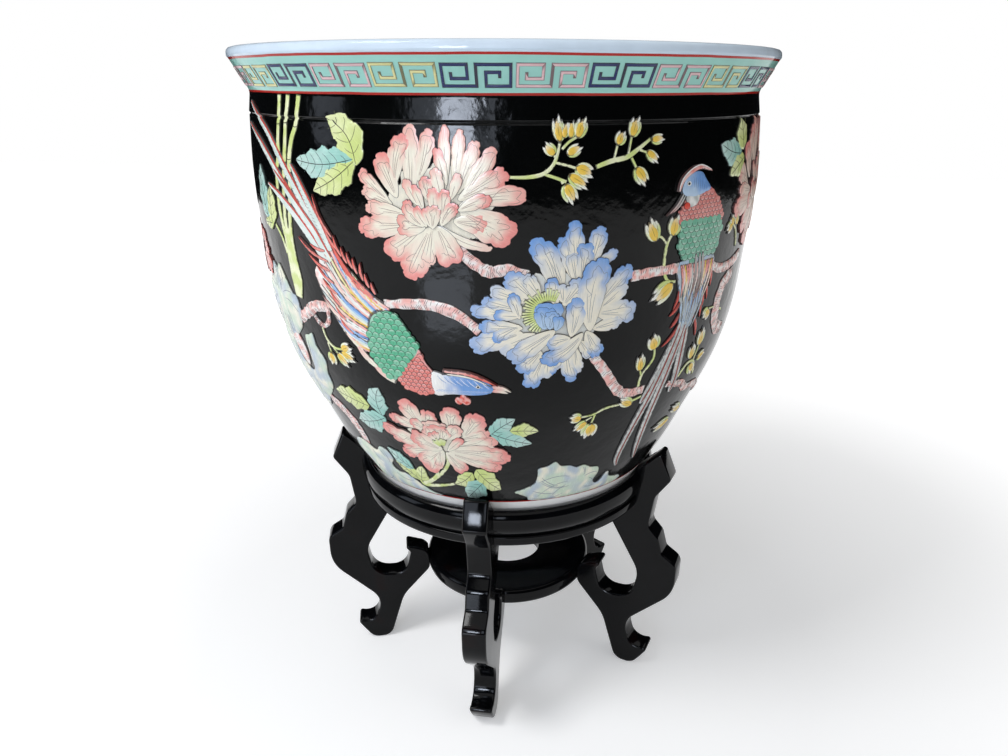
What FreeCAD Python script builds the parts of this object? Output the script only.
import FreeCAD, Part
import math
import os

import Sketcher

# A porcelain jardiniere (fish-bowl planter) standing in a black lacquered wood stand with five
# scroll legs.  Millimetres, +Z up, origin on the floor at the centre of the stand, with one leg
# straight to the front (-Y).  The legs are jointed to five ring rails by dowels and meet a small
# turned ring low down; the bowl sits loose on the ledge inside the rails.

doc = FreeCAD.newDocument("jardiniere_on_stand")

# ---------------------------------------------------------------------------- driving sizes

SIZES = {
    # bowl: heights are measured up from the underside of its foot ring, drops down from its lip;
    # insets are measured in from the shoulder, which is the widest place below the rim, and an
    # ease is how far a gentle bend reaches to each side of its corner
    "rim_flare": 11.2,
    "lip_swell": 1.7,
    "lip_drop": 5.3,
    "lip_height": 7.7,
    "lip_width": 8.0,
    "bowl_height": 344.8,
    "neck_inset": 5.0,
    "neck_drop": 27.8,
    "neck_bend": 8.0,
    "collar_drop": 15.0,
    "collar_inset": 2.9,
    "groove_depth": 1.2,
    "groove_width": 2.6,
    "shoulder_radius": 196.8,
    "shoulder_drop": 92.6,
    "shoulder_ease": 29.4,
    "belly_inset": 7.9,
    "belly_height": 141.6,
    "belly_ease": 44.0,
    "hip_flare": 16.7,
    "hip_height": 35.8,
    "hip_ease": 23.0,
    "foot_radius": 125.0,
    "foot_height": 10.8,
    "foot_taper": 2.5,
    "foot_wall": 13.0,
    "foot_recess": 9.0,
    "bowl_wall": 9.5,
    "floor_thickness": 11.0,
    "floor_bend": 34.0,
    "glaze_edge": 2.0,
    # ring rails: one moulded section, a torus, a groove and a thin bead, with a ledge inside
    "leg_count": 5.0,
    "seat_clearance": 3.0,
    "ring_cover": 6.3,
    "ring_width": 29.8,
    "ring_base": 173.0,
    "ring_height": 33.0,
    "torus_height": 24.5,
    "torus_slope": 5.0,
    "torus_round": 9.5,
    "torus_under": 7.0,
    "torus_nose": 16.0,
    "groove_inset": 5.0,
    "bead_inset": 3.0,
    "bead_round": 2.5,
    "seat_depth": 14.0,
    "seat_gap": 0.2,
    "rail_edge": 1.2,
    # low ring
    "shelf_setback": 55.8,
    "shelf_base": 74.5,
    "shelf_thickness": 16.0,
    "shelf_hole": 30.5,
    "shelf_round": 5.5,
    "shelf_hole_round": 3.0,
    # legs
    "leg_thickness": 19.5,
    "leg_edge": 1.8,
    # joinery
    "dowel_radius": 3.5,
    "dowel_depth": 14.0,
    "dowel_inset": 7.0,
    "dowel_spacing": 10.0,
    "dowel_rise": 9.5,
    "peg_radius": 3.0,
    "peg_depth": 12.0,
}

# The leg is sawn from a board.  Its outline is a chain of corners, each with its own rounding.
# Upper corners: out from the ring's outside, up from the ring's underside.
LEG_UPPER = {
    "cap": (14.7, 54.0, 2.6),
    "lug": (25.2, 29.5, 4.0),
    "nape": (12.2, 10.0, 17.0),
    "waist": (8.2, -19.0, 7.5),
    "knee": (18.0, -29.0, 8.5),
    "nook": (22.2, -44.0, 4.5),
    "brow": (36.2, -52.5, 10.0),
}
# Outer corners of the lower leg: out from the ring's outside, up from the floor.
LEG_OUTER = {
    "thigh": (35.7, 90.0, 34.0),
    "ankle": (-8.8, 45.0, 20.5),
    "instep": (-0.8, 18.5, 12.0),
    "toe": (17.7, 23.5, 2.4),
    "tread": (10.2, 11.5, 8.5),
}
# Corners of the inner hook: out from the edge of the low ring, up from that ring's underside.
LEG_HOOK = {
    "calf": (26.0, -28.0, 36.0),
    "heel": (-2.0, 2.5, 15.0),
    "crown": (-0.5, 21.0, 11.5),
    "tip": (27.0, 30.5, 2.2),
    "throat": (17.0, 20.5, 5.0),
    "cradle": (22.5, -2.5, 14.0),
}
# Corners of the scroll behind the hook: out from the ring's outside, up from the low ring.
LEG_SCROLL = {
    "scroll_low": (-3.8, -1.0, 18.0),
    "scroll_high": (2.2, 29.5, 23.0),
}
# The flat that stands on the floor, between two rounds.
LEG_SOLE = {
    "sole_front": (2.2, 12.0),
    "sole_back": (-15.3, 11.0),
}
# The leg's inner edge runs this far below the ring before it slants outward.
ROOT_DROP = 15.0

for corners in (LEG_UPPER, LEG_OUTER, LEG_HOOK, LEG_SCROLL):
    for name, (out, up, rounding) in corners.items():
        SIZES[name + "_out"] = out
        SIZES[name + "_up"] = up
        SIZES[name + "_round"] = rounding
for name, (out, rounding) in LEG_SOLE.items():
    SIZES[name + "_out"] = out
    SIZES[name + "_round"] = rounding
SIZES["root_drop"] = ROOT_DROP

sheet = doc.addObject("Spreadsheet::Sheet", "Sizes")
for row, (alias, value) in enumerate(SIZES.items(), start=1):
    sheet.set("A%d" % row, alias)
    sheet.set("B%d" % row, str(value))
    sheet.setAlias("B%d" % row, alias)
doc.recompute()

# Lengths that follow from the driving sizes, as expressions that every sketch can use.
RING_TOP = "(Sizes.ring_base + Sizes.ring_height)"
SEAT_HEIGHT = "(Sizes.ring_base + Sizes.ring_height - Sizes.seat_depth)"
SEAT_RADIUS = "(Sizes.foot_radius + Sizes.seat_clearance)"
RING_OUTSIDE = "(Sizes.foot_radius + Sizes.seat_clearance + Sizes.ring_cover)"
RING_INSIDE = "(%s - Sizes.ring_width)" % RING_OUTSIDE
SHELF_RADIUS = "(%s - Sizes.shelf_setback)" % RING_OUTSIDE
SHELF_TOP = "(Sizes.shelf_base + Sizes.shelf_thickness)"
SHELF_MIDDLE = "(Sizes.shelf_base + Sizes.shelf_thickness / 2)"
LEG_STEP = "(360 / Sizes.leg_count)"
DOWEL_HEIGHT = "(Sizes.ring_base + Sizes.dowel_rise)"
DOWEL_REACHES = [
    "(%s + Sizes.dowel_inset)" % RING_INSIDE,
    "(%s + Sizes.dowel_inset + Sizes.dowel_spacing)" % RING_INSIDE,
]
LEGS = int(SIZES["leg_count"])
FRONT = -90


def number(expression):
    """The value of an expression in millimetres or degrees."""
    return float(sheet.evalExpression(str(expression)))


def origin_plane(body, role):
    """One of a body's own origin planes, found by its role."""
    for feature in body.Origin.OriginFeatures:
        if feature.Role == role:
            return feature
    raise ValueError(role)


def new_body(label):
    """An empty PartDesign body whose label names its file."""
    body = doc.addObject("PartDesign::Body", label)
    body.Label = label
    return body


def new_sketch(body, role, name):
    """A sketch attached to one of the body's origin planes."""
    sketch = body.newObject("Sketcher::SketchObject", name)
    sketch.AttachmentSupport = [(origin_plane(body, role), "")]
    sketch.MapMode = "FlatFace"
    return sketch


def by_ease(rounding):
    """Whether a round is given by its reach along the sides instead of its radius."""
    return rounding.endswith("_ease")


def corner_arc(before, corner, after, rounding):
    """Start, middle and end of the round at a corner."""
    back = (before - corner).normalize()
    ahead = (after - corner).normalize()
    half = back.getAngle(ahead) / 2
    radius = number(rounding)
    if by_ease(rounding):
        radius *= math.tan(half)
    start = corner + back * (radius / math.tan(half))
    end = corner + ahead * (radius / math.tan(half))
    centre = corner + (back + ahead).normalize() * (radius / math.sin(half))
    middle = centre + (corner - centre).normalize() * radius
    return start, middle, end


def add_outline(sketch, corners):
    """Draw a closed outline of straight sides with rounded corners, fully constrained.

    corners is a list of (x, y, rounding) expressions.  A rounding of None keeps a corner sharp.
    Where its expression names an ease, the round is given by its reach along both sides, and
    otherwise by its radius.
    """
    count = len(corners)
    points = [FreeCAD.Vector(number(x), number(y), 0) for x, y, _ in corners]
    starts, ends, arcs = [], [], {}
    for i, (_, _, rounding) in enumerate(corners):
        if rounding is None:
            starts.append(points[i])
            ends.append(points[i])
            continue
        start, bulge, end = corner_arc(points[i - 1], points[i], points[(i + 1) % count], rounding)
        starts.append(start)
        ends.append(end)
        arcs[i] = Part.ArcOfCircle(start, bulge, end)
    sides = [sketch.addGeometry(Part.LineSegment(ends[i], starts[(i + 1) % count]), False) for i in range(count)]
    constraints, bound = [], []
    for i, (x, y, rounding) in enumerate(corners):
        before, after = sides[i - 1], sides[i]
        if rounding is None:
            constraints.append(Sketcher.Constraint("Coincident", before, 2, after, 1))
            place = (after, 1)
        else:
            arc = sketch.addGeometry(arcs[i], False)
            first, last = arc_ends(sketch, arc, starts[i])
            constraints.append(Sketcher.Constraint("Tangent", before, 2, arc, first))
            constraints.append(Sketcher.Constraint("Tangent", arc, last, after, 1))
            vertex = sketch.addGeometry(Part.Point(points[i]), True)
            if by_ease(rounding):
                reach = Sketcher.Constraint("Distance", vertex, 1, arc, first, number(rounding))
            else:
                reach = Sketcher.Constraint("Radius", arc, number(rounding))
            bound.append((reach, rounding))
            constraints.append(Sketcher.Constraint("PointOnObject", vertex, 1, before))
            constraints.append(Sketcher.Constraint("PointOnObject", vertex, 1, after))
            place = (vertex, 1)
        bound.append((Sketcher.Constraint("DistanceX", -1, 1, place[0], place[1], points[i].x), x))
        bound.append((Sketcher.Constraint("DistanceY", -1, 1, place[0], place[1], points[i].y), y))
    sketch.addConstraint(constraints)
    bind_constraints(sketch, bound)


def bind_constraints(sketch, bound):
    """Add dimensions to a sketch, each one following its expression."""
    first = sketch.ConstraintCount
    sketch.addConstraint([constraint for constraint, _ in bound])
    for offset, (_, expression) in enumerate(bound):
        sketch.setExpression("Constraints[%d]" % (first + offset), str(expression))


def arc_ends(sketch, arc, start):
    """The vertex numbers of an arc's ends, the one at the start point first."""
    if sketch.getPoint(arc, 1).distanceToPoint(start) < sketch.getPoint(arc, 2).distanceToPoint(start):
        return 1, 2
    return 2, 1


def add_circle(sketch, x, y, radius):
    """A circle whose centre and radius follow expressions."""
    centre = FreeCAD.Vector(number(x), number(y), 0)
    ring = sketch.addGeometry(Part.Circle(centre, FreeCAD.Vector(0, 0, 1), number(radius)), False)
    bind_constraints(sketch, [
        (Sketcher.Constraint("DistanceX", -1, 1, ring, 3, centre.x), x),
        (Sketcher.Constraint("DistanceY", -1, 1, ring, 3, centre.y), y),
        (Sketcher.Constraint("Radius", ring, number(radius)), radius),
    ])


def revolve(body, sketch, angle="360", midplane=False):
    """Turn a sketch about its vertical axis."""
    turned = body.newObject("PartDesign::Revolution", body.Name + "_turned")
    turned.Profile = sketch
    turned.ReferenceAxis = (sketch, ["V_Axis"])
    turned.Midplane = midplane
    turned.setExpression("Angle", angle)
    sketch.Visibility = False
    doc.recompute()
    return turned


def cut(body, sketch, name, length, midplane=False, reversed_side=False):
    """Pocket a sketch out of a body, and make sure that it removed something."""
    before = body.Shape.Volume
    pocket = body.newObject("PartDesign::Pocket", name)
    pocket.Profile = sketch
    pocket.Midplane = midplane
    pocket.Reversed = reversed_side
    pocket.setExpression("Length", length)
    doc.recompute()
    if not body.Shape.Volume < before:
        raise RuntimeError(name + " cut nothing")
    return pocket


def turn(item, angle):
    """Stand a piece at its place round the stand's axis."""
    item.setExpression("Placement.Rotation.Angle", "(%s) * 1 deg" % angle)


def repeat_round(first, labels):
    """Stand copies of a finished piece at equal steps round the stand, each a node of its own."""
    pieces = [first]
    for i, label in enumerate(labels[1:], start=1):
        copy = doc.addObject("Part::Compound", label)
        copy.Label = label
        copy.Links = [first]
        turn(copy, "%d * %s" % (i, LEG_STEP))
        pieces.append(copy)
    return pieces


# ---------------------------------------------------------------------------- bowl

def make_bowl():
    """The bowl is thrown: one turned section, from the foot ring to the flared rim and back."""
    body = new_body("bowl")
    section = new_sketch(body, "XZ_Plane", "bowl_section")
    foot_outside = "(Sizes.foot_radius - Sizes.foot_taper)"
    foot_inside = "(%s - Sizes.foot_wall)" % foot_outside
    belly = "(Sizes.shoulder_radius - Sizes.belly_inset)"
    shoulder_height = "(Sizes.bowl_height - Sizes.shoulder_drop)"
    collar_radius = "(Sizes.shoulder_radius - Sizes.collar_inset)"
    collar = "(Sizes.bowl_height - Sizes.neck_drop - Sizes.collar_drop)"
    neck = "(Sizes.shoulder_radius - Sizes.neck_inset)"
    neck_height = "(Sizes.bowl_height - Sizes.neck_drop)"
    rim = "(%s + Sizes.rim_flare)" % neck
    lip = "(%s + Sizes.lip_swell)" % rim
    floor_top = "(Sizes.foot_recess + Sizes.floor_thickness)"
    inside = "(%s - Sizes.bowl_wall)"
    add_outline(section, [
        ("0", "Sizes.foot_recess", None),
        (foot_inside, "Sizes.foot_recess", "Sizes.glaze_edge"),
        (foot_inside, "0", "Sizes.glaze_edge"),
        (foot_outside, "0", "Sizes.glaze_edge"),
        ("Sizes.foot_radius", "Sizes.foot_height", "Sizes.glaze_edge * 2"),
        ("Sizes.foot_radius + Sizes.hip_flare", "Sizes.hip_height", "Sizes.hip_ease"),
        (belly, "Sizes.belly_height", "Sizes.belly_ease"),
        ("Sizes.shoulder_radius", shoulder_height, "Sizes.shoulder_ease"),
        (collar_radius, collar + " - Sizes.groove_width / 2", None),
        (collar_radius + " - Sizes.groove_depth", collar, None),
        (collar_radius, collar + " + Sizes.groove_width / 2", None),
        (neck, neck_height, "Sizes.neck_bend"),
        (rim, "Sizes.bowl_height - Sizes.lip_height", "Sizes.glaze_edge / 2"),
        (lip, "Sizes.bowl_height - Sizes.lip_drop", "Sizes.glaze_edge / 2"),
        (lip, "Sizes.bowl_height", "Sizes.glaze_edge * 1.6"),
        (lip + " - Sizes.lip_width", "Sizes.bowl_height", "Sizes.glaze_edge * 1.6"),
        (inside % neck, neck_height, "Sizes.neck_bend * 2"),
        (inside % "Sizes.shoulder_radius", shoulder_height, "Sizes.shoulder_ease"),
        (inside % belly, "Sizes.belly_height", "Sizes.belly_ease"),
        ("Sizes.foot_radius - Sizes.glaze_edge", floor_top, "Sizes.floor_bend"),
        ("0", floor_top, None),
    ])
    revolve(body, section)
    body.setExpression("Placement.Base.z", SEAT_HEIGHT + " + Sizes.seat_gap")
    return body


# ---------------------------------------------------------------------------- legs

def leg_corners():
    """The leg's outline, from the outer top corner down the front, round the foot and back up."""
    def corner(name, datum_out, datum_up):
        out = "%s + Sizes.%s_out" % (datum_out, name)
        up = "%s + Sizes.%s_up" % (datum_up, name)
        return out, up, "Sizes.%s_round" % name

    outline = [corner(name, RING_OUTSIDE, "Sizes.ring_base") for name in LEG_UPPER]
    outline += [corner(name, RING_OUTSIDE, "0") for name in LEG_OUTER]
    for name in LEG_SOLE:
        outline.append(("%s + Sizes.%s_out" % (RING_OUTSIDE, name), "0", "Sizes.%s_round" % name))
    outline += [corner(name, SHELF_RADIUS, "Sizes.shelf_base") for name in LEG_HOOK]
    outline += [corner(name, RING_OUTSIDE, "Sizes.shelf_base") for name in LEG_SCROLL]
    outline += [
        (RING_INSIDE, "Sizes.ring_base - Sizes.root_drop", None),
        (RING_INSIDE, SEAT_HEIGHT, None),
        (SEAT_RADIUS, SEAT_HEIGHT, None),
        (SEAT_RADIUS, RING_TOP, None),
    ]
    return outline


def rounded_edges(shape):
    """Names of the edges along both flat sides of a leg, where no rail butts against it."""
    half = number("Sizes.leg_thickness") / 2
    rail_out = number(RING_OUTSIDE)
    rail_low = number("Sizes.ring_base")
    names = []
    for i, edge in enumerate(shape.Edges, start=1):
        box = edge.BoundBox
        on_side = abs(abs(box.Center.y) - half) < 0.01 and box.YLength < 0.01
        beside_rail = box.XMax < rail_out and box.ZMax > rail_low
        if on_side and not beside_rail:
            names.append("Edge%d" % i)
    return names


def make_leg(label):
    """A leg: the sawn board, softened edges, the hollow for the low ring and the dowel holes."""
    body = new_body(label)
    outline = new_sketch(body, "XZ_Plane", label + "_outline")
    add_outline(outline, leg_corners())
    board = body.newObject("PartDesign::Pad", label + "_board")
    board.Profile = outline
    board.Midplane = True
    board.setExpression("Length", "Sizes.leg_thickness")
    outline.Visibility = False
    doc.recompute()

    softened = body.newObject("PartDesign::Fillet", label + "_softened")
    softened.Base = (board, rounded_edges(board.Shape))
    softened.setExpression("Radius", "Sizes.leg_edge")
    doc.recompute()

    hollow = new_sketch(body, "XY_Plane", label + "_hollow_plan")
    add_circle(hollow, "0", "0", SHELF_RADIUS)
    cut(body, hollow, label + "_hollow", SHELF_TOP + " * 4", midplane=True)

    holes = new_sketch(body, "XZ_Plane", label + "_dowel_plan")
    for reach in DOWEL_REACHES:
        add_circle(holes, reach, DOWEL_HEIGHT, "Sizes.dowel_radius")
    cut(body, holes, label + "_dowel_holes", "Sizes.leg_thickness * 2", midplane=True)

    peg = new_sketch(body, "YZ_Plane", label + "_peg_plan")
    add_circle(peg, "0", SHELF_MIDDLE, "Sizes.peg_radius")
    cut(body, peg, label + "_peg_hole", SHELF_RADIUS + " + Sizes.peg_depth", reversed_side=True)
    turn(body, FRONT)
    return body


# ---------------------------------------------------------------------------- ring rails

def make_rail(label):
    """One fifth of the moulded ring, cut off square where it butts against a leg at each end."""
    body = new_body(label)
    section = new_sketch(body, "XZ_Plane", label + "_section")
    groove = RING_TOP + " - Sizes.torus_height"
    bead = "(%s - Sizes.bead_inset)" % RING_OUTSIDE
    groove_radius = "(%s - Sizes.groove_inset)" % RING_OUTSIDE
    add_outline(section, [
        (SEAT_RADIUS, RING_TOP, "Sizes.rail_edge"),
        (RING_OUTSIDE, RING_TOP + " - Sizes.torus_slope", "Sizes.torus_round"),
        (RING_OUTSIDE, groove + " + Sizes.torus_under", "Sizes.torus_nose"),
        (groove_radius, groove, None),
        (bead, groove, "Sizes.rail_edge"),
        (bead, "Sizes.ring_base", "Sizes.bead_round"),
        (RING_INSIDE, "Sizes.ring_base", "Sizes.rail_edge"),
        (RING_INSIDE, SEAT_HEIGHT, "Sizes.rail_edge"),
        (SEAT_RADIUS, SEAT_HEIGHT, None),
    ])
    revolve(body, section, angle=LEG_STEP, midplane=True)

    trims = new_sketch(body, "XY_Plane", label + "_trim_plan")
    near, far = RING_INSIDE + " * 0.8", RING_OUTSIDE + " * 1.2"
    for side in (1, -1):
        half = "(%d * 180 deg / Sizes.leg_count)" % side
        shift = "(%d * Sizes.leg_thickness / 2)" % side
        strip = [(near, "0"), (far, "0"), (far, "1"), (near, "1")]
        corners = []
        for reach, inward in strip:
            x = "%s * cos(%s) + %s * %s * sin(%s)" % (reach, half, inward, shift, half)
            y = "%s * sin(%s) - %s * %s * cos(%s)" % (reach, half, inward, shift, half)
            corners.append((x, y, None))
        add_outline(trims, corners)
    cut(body, trims, label + "_trims", RING_TOP + " * 4", midplane=True)

    for side in (1, -1):
        holes = new_sketch(body, "XZ_Plane", "%s_dowel_plan_%s" % (label, "left" if side > 0 else "right"))
        holes.AttachmentOffset = FreeCAD.Placement(FreeCAD.Vector(), FreeCAD.Rotation(FreeCAD.Vector(0, 1, 0), 1))
        holes.setExpression("AttachmentOffset.Rotation.Angle", "%d * 180 deg / Sizes.leg_count" % side)
        for reach in DOWEL_REACHES:
            add_circle(holes, reach, DOWEL_HEIGHT, "Sizes.dowel_radius")
        cut(body, holes, holes.Name + "_holes", "Sizes.leg_thickness + 2 * Sizes.dowel_depth", midplane=True)
    turn(body, "%d + %s / 2" % (FRONT, LEG_STEP))
    return body


# ---------------------------------------------------------------------------- low ring

def make_shelf_ring():
    """The turned low ring with a rounded edge, and a blind peg hole for each leg's hook."""
    body = new_body("shelf_ring")
    section = new_sketch(body, "XZ_Plane", "shelf_section")
    add_outline(section, [
        ("Sizes.shelf_hole", "Sizes.shelf_base", "Sizes.shelf_hole_round"),
        (SHELF_RADIUS, "Sizes.shelf_base", "Sizes.shelf_round"),
        (SHELF_RADIUS, SHELF_TOP, "Sizes.shelf_round"),
        ("Sizes.shelf_hole", SHELF_TOP, "Sizes.shelf_hole_round"),
    ])
    revolve(body, section)
    peg = new_sketch(body, "YZ_Plane", "shelf_peg_plan")
    peg.setExpression("AttachmentOffset.Base.z", SHELF_RADIUS + " - Sizes.peg_depth")
    add_circle(peg, "0", SHELF_MIDDLE, "Sizes.peg_radius")
    hole = cut(body, peg, "shelf_peg_hole", "Sizes.peg_depth * 2", reversed_side=True)
    ring = body.newObject("PartDesign::PolarPattern", "shelf_peg_holes")
    ring.Originals = [hole]
    ring.Axis = (section, ["V_Axis"])
    ring.Angle = 360
    ring.Occurrences = LEGS
    body.Tip = ring
    turn(body, str(FRONT))
    return body


# ---------------------------------------------------------------------------- dowels and pegs

def make_rods(label, rods):
    """A group of equal round rods, each given by its radius, length and placement."""
    pieces = []
    for i, (radius, length, placement) in enumerate(rods, start=1):
        rod = doc.addObject("Part::Cylinder", "%s_%d" % (label, i))
        rod.setExpression("Radius", radius)
        rod.setExpression("Height", length)
        rod.Placement = placement
        pieces.append(rod)
    group = doc.addObject("Part::Compound", label)
    group.Label = label
    group.Links = pieces
    return group


def make_rail_dowels():
    """Two dowels go through each leg into the rails on both sides of it."""
    length = "(Sizes.leg_thickness + 2 * Sizes.dowel_depth)"
    rods = []
    for i in range(LEGS):
        around = FreeCAD.Rotation(FreeCAD.Vector(0, 0, 1), FRONT + i * number(LEG_STEP))
        lying = around.multiply(FreeCAD.Rotation(FreeCAD.Vector(1, 0, 0), -90))
        for reach in DOWEL_REACHES:
            start = around.multVec(FreeCAD.Vector(number(reach), -number(length) / 2, number(DOWEL_HEIGHT)))
            rods.append(("Sizes.dowel_radius", length, FreeCAD.Placement(start, lying)))
    return make_rods("rail_dowels", rods)


def make_shelf_pegs():
    """One peg joins each leg's hook to the edge of the low ring."""
    start_reach = number(SHELF_RADIUS + " - Sizes.peg_depth")
    rods = []
    for i in range(LEGS):
        around = FreeCAD.Rotation(FreeCAD.Vector(0, 0, 1), FRONT + i * number(LEG_STEP))
        lying = around.multiply(FreeCAD.Rotation(FreeCAD.Vector(0, 1, 0), 90))
        start = around.multVec(FreeCAD.Vector(start_reach, 0, number(SHELF_MIDDLE)))
        rods.append(("Sizes.peg_radius", "Sizes.peg_depth * 2", FreeCAD.Placement(start, lying)))
    return make_rods("shelf_pegs", rods)


# ---------------------------------------------------------------------------- build and write

LEG_NAMES = ["leg_front", "leg_right", "leg_rear_right", "leg_rear_left", "leg_left"]
RAIL_NAMES = ["rail_front_right", "rail_right", "rail_rear", "rail_left", "rail_front_left"]
if LEGS != len(LEG_NAMES):
    LEG_NAMES = ["leg_%d" % (i + 1) for i in range(LEGS)]
    RAIL_NAMES = ["rail_%d" % (i + 1) for i in range(LEGS)]

nodes = [make_bowl()]
nodes += repeat_round(make_leg(LEG_NAMES[0]), LEG_NAMES)
nodes += repeat_round(make_rail(RAIL_NAMES[0]), RAIL_NAMES)
nodes.append(make_shelf_ring())
nodes.append(make_rail_dowels())
nodes.append(make_shelf_pegs())
doc.recompute()

for item in doc.Objects:
    if "Invalid" in item.State or "Error" in item.State:
        raise RuntimeError("%s failed: %s" % (item.Label, item.State))
os.makedirs("parts", exist_ok=True)
for node in nodes:
    shape = node.Shape
    if shape.isNull() or not shape.isValid() or not shape.Solids:
        raise RuntimeError("%s has no valid solid" % node.Label)
    shape.exportStep(os.path.join("parts", node.Label + ".step"))
    print("%-18s %2d solids %10.0f mm3" % (node.Label, len(shape.Solids), shape.Volume))
